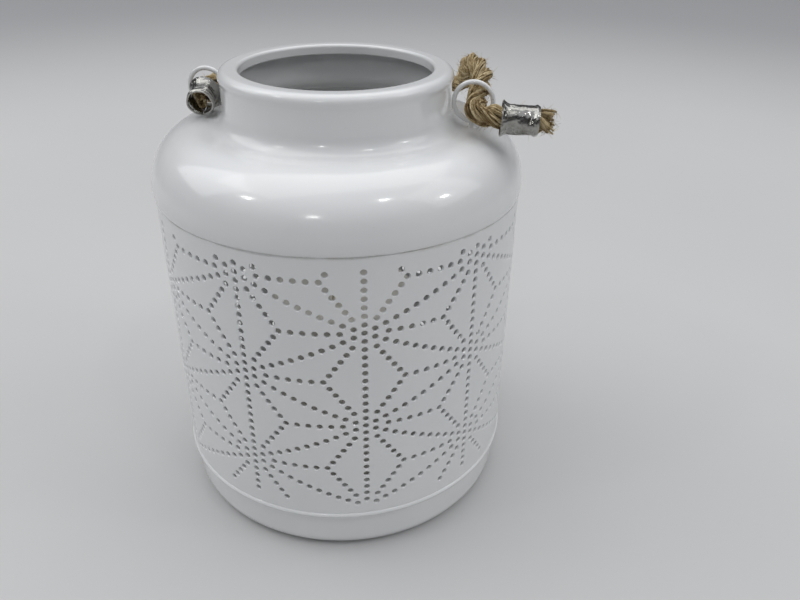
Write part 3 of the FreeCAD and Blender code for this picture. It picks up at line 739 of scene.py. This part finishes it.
def makeSleeve(s, finish):
    sleeve = makeSheet(s, finish)
    middle = (s["radius"] - s["gauge"] / 2) * mm
    places = []
    for column, height in holePlaces(s):
        angle = math.radians(s["turn"] + 360 * column / s["columns"])
        places.append((middle * math.cos(angle), middle * math.sin(angle), height * mm))
    punchHoles(sleeve, places, s, finish)
    latheNormals(sleeve)
    print("sleeve punched with", len(places), "holes,", len(sleeve.data.polygons), "faces")
    return sleeve


sleeve = makeSleeve(sleeveSet, sleeveWhite)

# ear rings: wire rings welded on the shoulder
ringSet = {
    "across": 51.4, "up": 167.2, "radius": 7.2, "wire": 0.9, "steps": 72, "sides": 16, "shoulder": 157.7,
    "weld": 1.1, "weldFoot": 0.95, "weldSunk": 0.3, "weldLap": 0.2, "weldTip": 0.35,
    "weldRows": 10, "weldSteps": 28,
}


def makeRing(name, hand, s, finish):
    middle, verts = s["across"] * hand, []
    for i in range(s["steps"]):
        turn = math.tau * i / s["steps"]
        for k in range(s["sides"]):
            angle = math.tau * k / s["sides"]
            reach = s["radius"] + s["wire"] * math.cos(angle)
            verts.append(((middle + reach * math.cos(turn)) * mm, s["wire"] * math.sin(angle) * mm,
                          (s["up"] + reach * math.sin(turn)) * mm))
    ring = makeObject(name, verts, gridFaces(s["steps"], s["sides"], closeRows=True), finish)
    # weld: a small mound that runs up into the wire
    rows = s["weldRows"]
    low = s["shoulder"] - s["weldSunk"]
    tall = s["up"] - s["radius"] + s["weldLap"] - low
    profile = [(0, low)]
    profile += [(s["weld"] + s["weldFoot"] * (1 - t / rows) ** 3, low + tall * t / rows)
                for t in range(rows + 1)]
    profile += [(0, low + tall + s["weldTip"])]
    weld = lathe(name + "Weld", profile, s["weldSteps"], finish)
    weld.data.transform(Matrix.Translation((middle * mm, 0, 0)))
    form = bmesh.new()
    form.from_mesh(ring.data)
    form.from_mesh(weld.data)
    bmesh.ops.recalc_face_normals(form, faces=form.faces)
    form.to_mesh(ring.data)
    form.free()
    bpy.data.objects.remove(weld)
    smooth(ring, degrees=40)
    return ring


rings = {side: makeRing(side + "EarRing", hand, ringSet, glossWhite)
         for side, hand in (("left", -1), ("right", 1))}
print("ear rings bent")

# ferrules: bright sheet crimped round the rope
brightSet = {
    # both colours are darker than bright metal: a painted reflection of a dim room
    "bright": (0.36, 0.355, 0.335), "dull": (0.17, 0.165, 0.145),
    "rough": 0.09, "dullRough": 0.12, "scratchRough": 0.05, "dentDepth": 0.0012,
}
ferruleSet = {
    "bore": 4.5, "wall": 0.55, "gap": 0.12, "skin": 5.3, "seam": 0.5, "around": 56, "along": 44, "seed": 11,
    "collar": 6.8, "collarDepth": 2.6, "collarCurve": 1.6,
    "bead": 0.42, "beadBack": 1.0, "beadWide": 0.55,
    "crimp": 0.21, "crimpWide": 0.9, "crimpSides": 6, "crimpPlaces": (0.42, 0.7),      # shares of the length
    "dents": 7, "dentCount": (2, 5), "dentRate": (0.2, 0.75), "dentDepth": (0.05, 0.16), "dentShare": 0.75,
    "dentCalm": 0.6,            # the collar is dented less by this
    "sheetOffset": -0.2,
    # points of the rope's route between which a ferrule lies
    "left": {"start": 1, "end": 0, "setback": 3.8, "length": 8.5},
    "right": {"start": -3, "end": -2, "setback": 3.6, "length": 13.0},
}


def ferruleFinish(s):
    bright = Finish("brightFerrule")
    at = bright.place()
    dull = bright.band(bright.noise(at, scale=260.0, detail=4.0, rough=0.65), low=0.45, high=0.75)
    colour = bright.mix(dull, s["bright"], s["dull"])
    scratch = bright.noise(bright.stretched((1.0, 7.0, 7.0)), scale=420.0, detail=3.0, rough=0.7)
    rough = s["rough"] + dull * s["dullRough"] + scratch * s["scratchRough"]
    dents = bright.noise(at, scale=300.0, detail=2.5, rough=0.5)
    return bright.done({"Base Color": colour, "Metallic": 1.0, "Roughness": rough,
                        "Normal": bright.bump(dents, s["dentDepth"], strength=0.7)})


def mound(away, wide):
    return math.exp(-(away / wide) ** 2)


def makeFerrule(name, end, s, points, finish):
    seeded = random.Random(s["seed"] + len(name))
    start, stop = Vector(points[end["start"]]), Vector(points[end["end"]])
    axis = (stop - start).normalized()
    down = Vector((0, 0, -1))
    seamSide = (down - axis * down.dot(axis)).normalized()
    cross = axis.cross(seamSide)
    foot = start + axis * end["setback"] * mm
    length = end["length"]
    waves = [(seeded.randint(*s["dentCount"]), seeded.uniform(*s["dentRate"]),
              seeded.uniform(0, math.tau), seeded.uniform(*s["dentDepth"])) for _ in range(s["dents"])]
    half = s["seam"] / 2 / s["skin"]
    least = s["bore"] + s["gap"]
    verts = []
    for row in range(s["along"] + 1):
        up = length * row / s["along"]
        flare = max(0.0, 1 - up / s["collarDepth"])
        bead = mound(up - length + s["beadBack"], s["beadWide"]) * s["bead"]
        crimp = s["crimp"] * sum(mound(up - length * place, s["crimpWide"]) for place in s["crimpPlaces"])
        calm = s["dentShare"] * (1 - s["dentCalm"] * flare)
        middle = least + s["wall"] / 2 + (s["collar"] - s["skin"]) * flare ** s["collarCurve"] + bead
        for step in range(s["around"] + 1):
            turn = half + (math.tau - 2 * half) * step / s["around"]
            dent = sum(depth * math.sin(count * turn + rate * up + shift)
                       for count, rate, shift, depth in waves)
            pinch = crimp * (1 + math.cos(s["crimpSides"] * turn)) / 2
            reach = max(middle - pinch + dent * calm, least)
            spoke = seamSide * math.cos(turn) + cross * math.sin(turn)
            verts.append(foot + (axis * up + spoke * reach) * mm)
    ferrule = makeObject(name, verts, gridFaces(s["along"] + 1, s["around"] + 1, closeWide=False), finish)
    outwards(ferrule)
    towards = sum(face.normal.dot(face.center - foot - axis * (face.center - foot).dot(axis)) * face.area
                  for face in ferrule.data.polygons)
    if towards < 0:
        ferrule.data.flip_normals()
    thick = ferrule.modifiers.new("sheet", "SOLIDIFY")
    thick.thickness = s["wall"] * mm
    thick.offset = s["sheetOffset"]
    keepResult(ferrule)
    smooth(ferrule, degrees=45)
    return ferrule


bright = ferruleFinish(brightSet)
ferrules = {side: makeFerrule(side + "Ferrule", ferruleSet[side], ferruleSet, ropePoints, bright)
            for side in ("left", "right")}
print("ferrules crimped")


# candle: the CAD pieces keep their shapes and get their own finishes
def plasticFinish(name, first, second, rough, grain, depth, coat=0.0, roughWave=0.12):
    plastic = Finish(name)
    at = plastic.place()
    cloud = plastic.band(plastic.noise(at, scale=55.0, detail=4.0, rough=0.6), low=0.3, high=0.7)
    texture = plastic.noise(at, scale=grain, detail=3.0, rough=0.6)
    gloss = uneven(rough, roughWave, plastic.noise(at, scale=160.0, detail=3.0, rough=0.6))
    return plastic.done({"Base Color": plastic.mix(cloud, first, second), "Roughness": gloss,
                         "Coat Weight": coat, "Normal": plastic.bump(texture, depth, strength=0.5)})


def metalFinish(name, first, second, rough, grain, roughWave=0.18):
    metal = Finish(name)
    at = metal.place()
    cloud = metal.band(metal.noise(at, scale=140.0, detail=4.0, rough=0.65), low=0.3, high=0.7)
    brush = metal.noise(metal.stretched((1.0, 12.0, 1.0)), scale=grain, detail=3.0, rough=0.6)
    return metal.done({"Base Color": metal.mix(cloud, first, second), "Metallic": 1.0,
                       "Roughness": rough + brush * roughWave,
                       "Normal": metal.bump(brush, depth=0.00004, strength=0.4)})


waxSet = {
    "ivory": (0.68, 0.655, 0.595), "pale": (0.74, 0.72, 0.665), "run": (0.62, 0.585, 0.51), "runShare": 0.4,
    "rough": 0.38, "runRough": 0.2, "runDepth": 0.0009,
}


def waxFinish(s):
    wax = Finish("candleIvory")
    at = wax.place()
    cloud = wax.band(wax.noise(at, scale=38.0, detail=4.0, rough=0.6), low=0.3, high=0.72)
    runs = wax.noise(wax.stretched((60.0, 60.0, 7.0)), scale=1.0, detail=4.0, rough=0.6)
    colour = wax.mix(cloud, s["ivory"], s["pale"])
    colour = wax.mix(wax.band(runs, low=0.55, high=0.75) * s["runShare"], colour, s["run"])
    return wax.done({"Base Color": colour, "Roughness": s["rough"] + runs * s["runRough"],
                     "Normal": wax.bump(runs, s["runDepth"], strength=0.5)})


cellSet = {
    "black": (0.035, 0.035, 0.038), "copper": (0.46, 0.31, 0.11), "metal": 0.7,
    "bandFoot": 0.0350, "bandTop": 0.0352,      # m, where the colours meet
    "rough": 0.26, "roughWave": 0.12,
}


def cellFinish(s):
    cell = Finish("cellJacket")
    at = cell.place()
    upper = cell.band(cell.split(at, "Z"), s["bandFoot"], s["bandTop"])
    wear = cell.noise(at, scale=300.0, detail=3.0, rough=0.6)
    return cell.done({"Base Color": cell.mix(upper, s["black"], s["copper"]), "Metallic": upper * s["metal"],
                      "Roughness": s["rough"] + wear * s["roughWave"]})


candleFinishes = {
    "candle_shell": waxFinish(waxSet),
    "flame_lens": plasticFinish("flameMilk", (0.86, 0.76, 0.56), (0.90, 0.83, 0.68),
                                rough=0.34, grain=240.0, depth=0.0001, coat=0.2),
    "flame_led": plasticFinish("ledAmber", (0.80, 0.45, 0.10), (0.86, 0.55, 0.16),
                               rough=0.14, grain=240.0, depth=0.00003, coat=0.5),
    "led_board": plasticFinish("boardGreen", (0.020, 0.110, 0.045), (0.030, 0.150, 0.060),
                               rough=0.35, grain=500.0, depth=0.00005),
    "lead_wires": metalFinish("tinnedWire", (0.62, 0.61, 0.58), (0.52, 0.51, 0.48), rough=0.25, grain=300.0),
    "battery_case": plasticFinish("caseIvory", (0.76, 0.70, 0.57), (0.79, 0.735, 0.61),
                                  rough=0.42, grain=900.0, depth=0.00006),
    "battery_door": plasticFinish("doorIvory", (0.75, 0.69, 0.56), (0.785, 0.73, 0.605),
                                  rough=0.42, grain=900.0, depth=0.00006),
    "top_contacts": metalFinish("contactPlate", (0.66, 0.65, 0.62), (0.56, 0.55, 0.51),
                                rough=0.22, grain=260.0),
    "case_screws": metalFinish("zincScrew", (0.60, 0.60, 0.60), (0.48, 0.48, 0.49), rough=0.24, grain=420.0),
    "switch_body": plasticFinish("switchBlack", (0.020, 0.020, 0.021), (0.030, 0.030, 0.030),
                                 rough=0.40, grain=700.0, depth=0.00005),
}
candleFinishes["door_contact"] = candleFinishes["top_contacts"]
candleFinishes["switch_slider"] = candleFinishes["switch_body"]
candleFinishes.update(dict.fromkeys(("cell_1", "cell_2", "cell_3"), cellFinish(cellSet)))
for node, finish in candleFinishes.items():
    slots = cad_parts[node].data.materials
    if not len(slots):
        slots.append(finish)
    for index in range(len(slots)):
        slots[index] = finish
print("candle painted")

# floor, backdrop and light, in m
stageSet = {"floor": 2.4, "bend": 0.6, "bendSteps": 14, "height": 0.85, "steps": 96}
floorSet = {
    "pale": (0.54, 0.54, 0.535), "paler": (0.575, 0.575, 0.57), "rough": 0.85,
    "far": (0.36, 0.36, 0.365), "farStart": 0.55, "farEnd": 1.35,       # painted shade: darker away from the object, as in a dim room
}


def floorFinish(s):
    paper = Finish("paleFloor")
    at = paper.place()
    colour = paper.mix(paper.noise(at, scale=5.0, detail=3.0, rough=0.5), s["pale"], s["paler"])
    away = paper.node("ShaderNodeVectorMath", {"operation": "LENGTH"}, {0: at}, "Value")
    # painted shade that a dim room would leave on the floor away from the object
    colour = paper.mix(paper.band(away, s["farStart"], s["farEnd"]), colour, s["far"])
    return paper.done({"Base Color": colour, "Roughness": s["rough"]})


def makeStage(s, finish):
    # a round floor that bends up into a low wall
    bends = [math.pi / 2 * i / s["bendSteps"] for i in range(s["bendSteps"] + 1)]
    line = [(0.0, 0.0), (s["floor"] / 2, 0.0)]
    line += [(s["floor"] + s["bend"] * math.sin(a), s["bend"] * (1 - math.cos(a))) for a in bends]
    line += [(s["floor"] + s["bend"], s["height"])]
    turns = [math.tau * i / s["steps"] for i in range(s["steps"])]
    verts = [(r * math.cos(a), r * math.sin(a), z) for r, z in line for a in turns]
    floor = makeObject("floorSweep", verts, gridFaces(len(line), s["steps"]), finish)
    outwards(floor)
    if floor.data.polygons[0].normal.z < 0:
        floor.data.flip_normals()
    floor.data.shade_smooth()
    return floor


floor = makeStage(stageSet, floorFinish(floorSet))

warm, cool = (1.0, 0.99, 0.97), (0.98, 0.99, 1.0)
panels = {"size": (1.4, 1.4), "aim": (0, 0, 0.15), "colour": cool}
glints = {"size": (0.22, 0.16), "aim": (0, 0, 0.15), "colour": warm, "watts": 1.6}
lampSet = {
    "ceilingPanel": {"place": (-0.25, 0.35, 2.1), "size": (3.2, 1.6), "aim": (0, 0, 0.1), "colour": warm,
                     "watts": 16.0},
    "leftPanel": {"place": (-1.7, 0.1, 1.5), "watts": 8.0, **panels},
    "rightPanel": {"place": (1.7, 0.1, 1.5), "watts": 6.0, **panels},
    "glintLeft": {"place": (-1.32, -0.88, 1.67), **glints},
    "glintFront": {"place": (-0.11, -1.87, 1.32), **glints},
    "glintRight": {"place": (0.97, -0.75, 1.98), **glints},
    "glintSide": {"place": (1.83, -0.11, 1.38), **glints},
}


def areaLight(name, s):
    data = bpy.data.lights.new(name, "AREA")
    data.shape = "RECTANGLE"
    data.size, data.size_y = s["size"]
    data.energy = s["watts"]
    data.color = s["colour"]
    lamp = bpy.data.objects.new(name, data)
    lamp.location = s["place"]
    lamp.rotation_euler = (Vector(s["aim"]) - Vector(s["place"])).to_track_quat("-Z", "Y").to_euler()
    scene.collection.objects.link(lamp)


for name, lamp in lampSet.items():
    areaLight(name, lamp)

skySet = {
    "tint": (0.93, 0.95, 1.0), "room": 0.045, "ceiling": 0.80, "ceilingFoot": 0.25, "ceilingTop": 0.95,
    "seen": 0.26,       # as the camera sees it past the stage
}


def makeSky(s):
    # a pale ceiling above a dimmer room
    sky = Finish("studio", bpy.data.worlds.new("studio"))
    up = sky.split(sky.node("ShaderNodeTexCoord", {}, {}, "Generated"), "Z")
    seen = sky.node("ShaderNodeLightPath", {}, {}, "Is Camera Ray")
    light = s["room"] + s["ceiling"] * sky.band(up, s["ceilingFoot"], s["ceilingTop"])
    light = light * (1 - seen) + s["seen"] * seen
    glow = sky.node("ShaderNodeBackground", {}, {"Color": s["tint"], "Strength": light})
    sky.node("ShaderNodeOutputWorld", {}, {"Surface": glow})
    scene.world = sky.material


makeSky(skySet)
scene.view_settings.view_transform = "Standard"
print("stage and light set")

# what moves with what
jarPieces = [(neck, "neck_shoulder"), (base, "base_pan"), (sleeve, "perforated_sleeve"),
             (rings["left"], "left_ear_ring"), (rings["right"], "right_ear_ring"),
             (ferrules["left"], "left_ferrule"), (ferrules["right"], "right_ferrule")]
for piece, node in jarPieces:
    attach(piece, "jar")
    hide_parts(node)
    "bright_ferrule" if "ferrule" in node else "white_lacquer"
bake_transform(rope)
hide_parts("rope_handle")

print("pieces ride on their bodies")
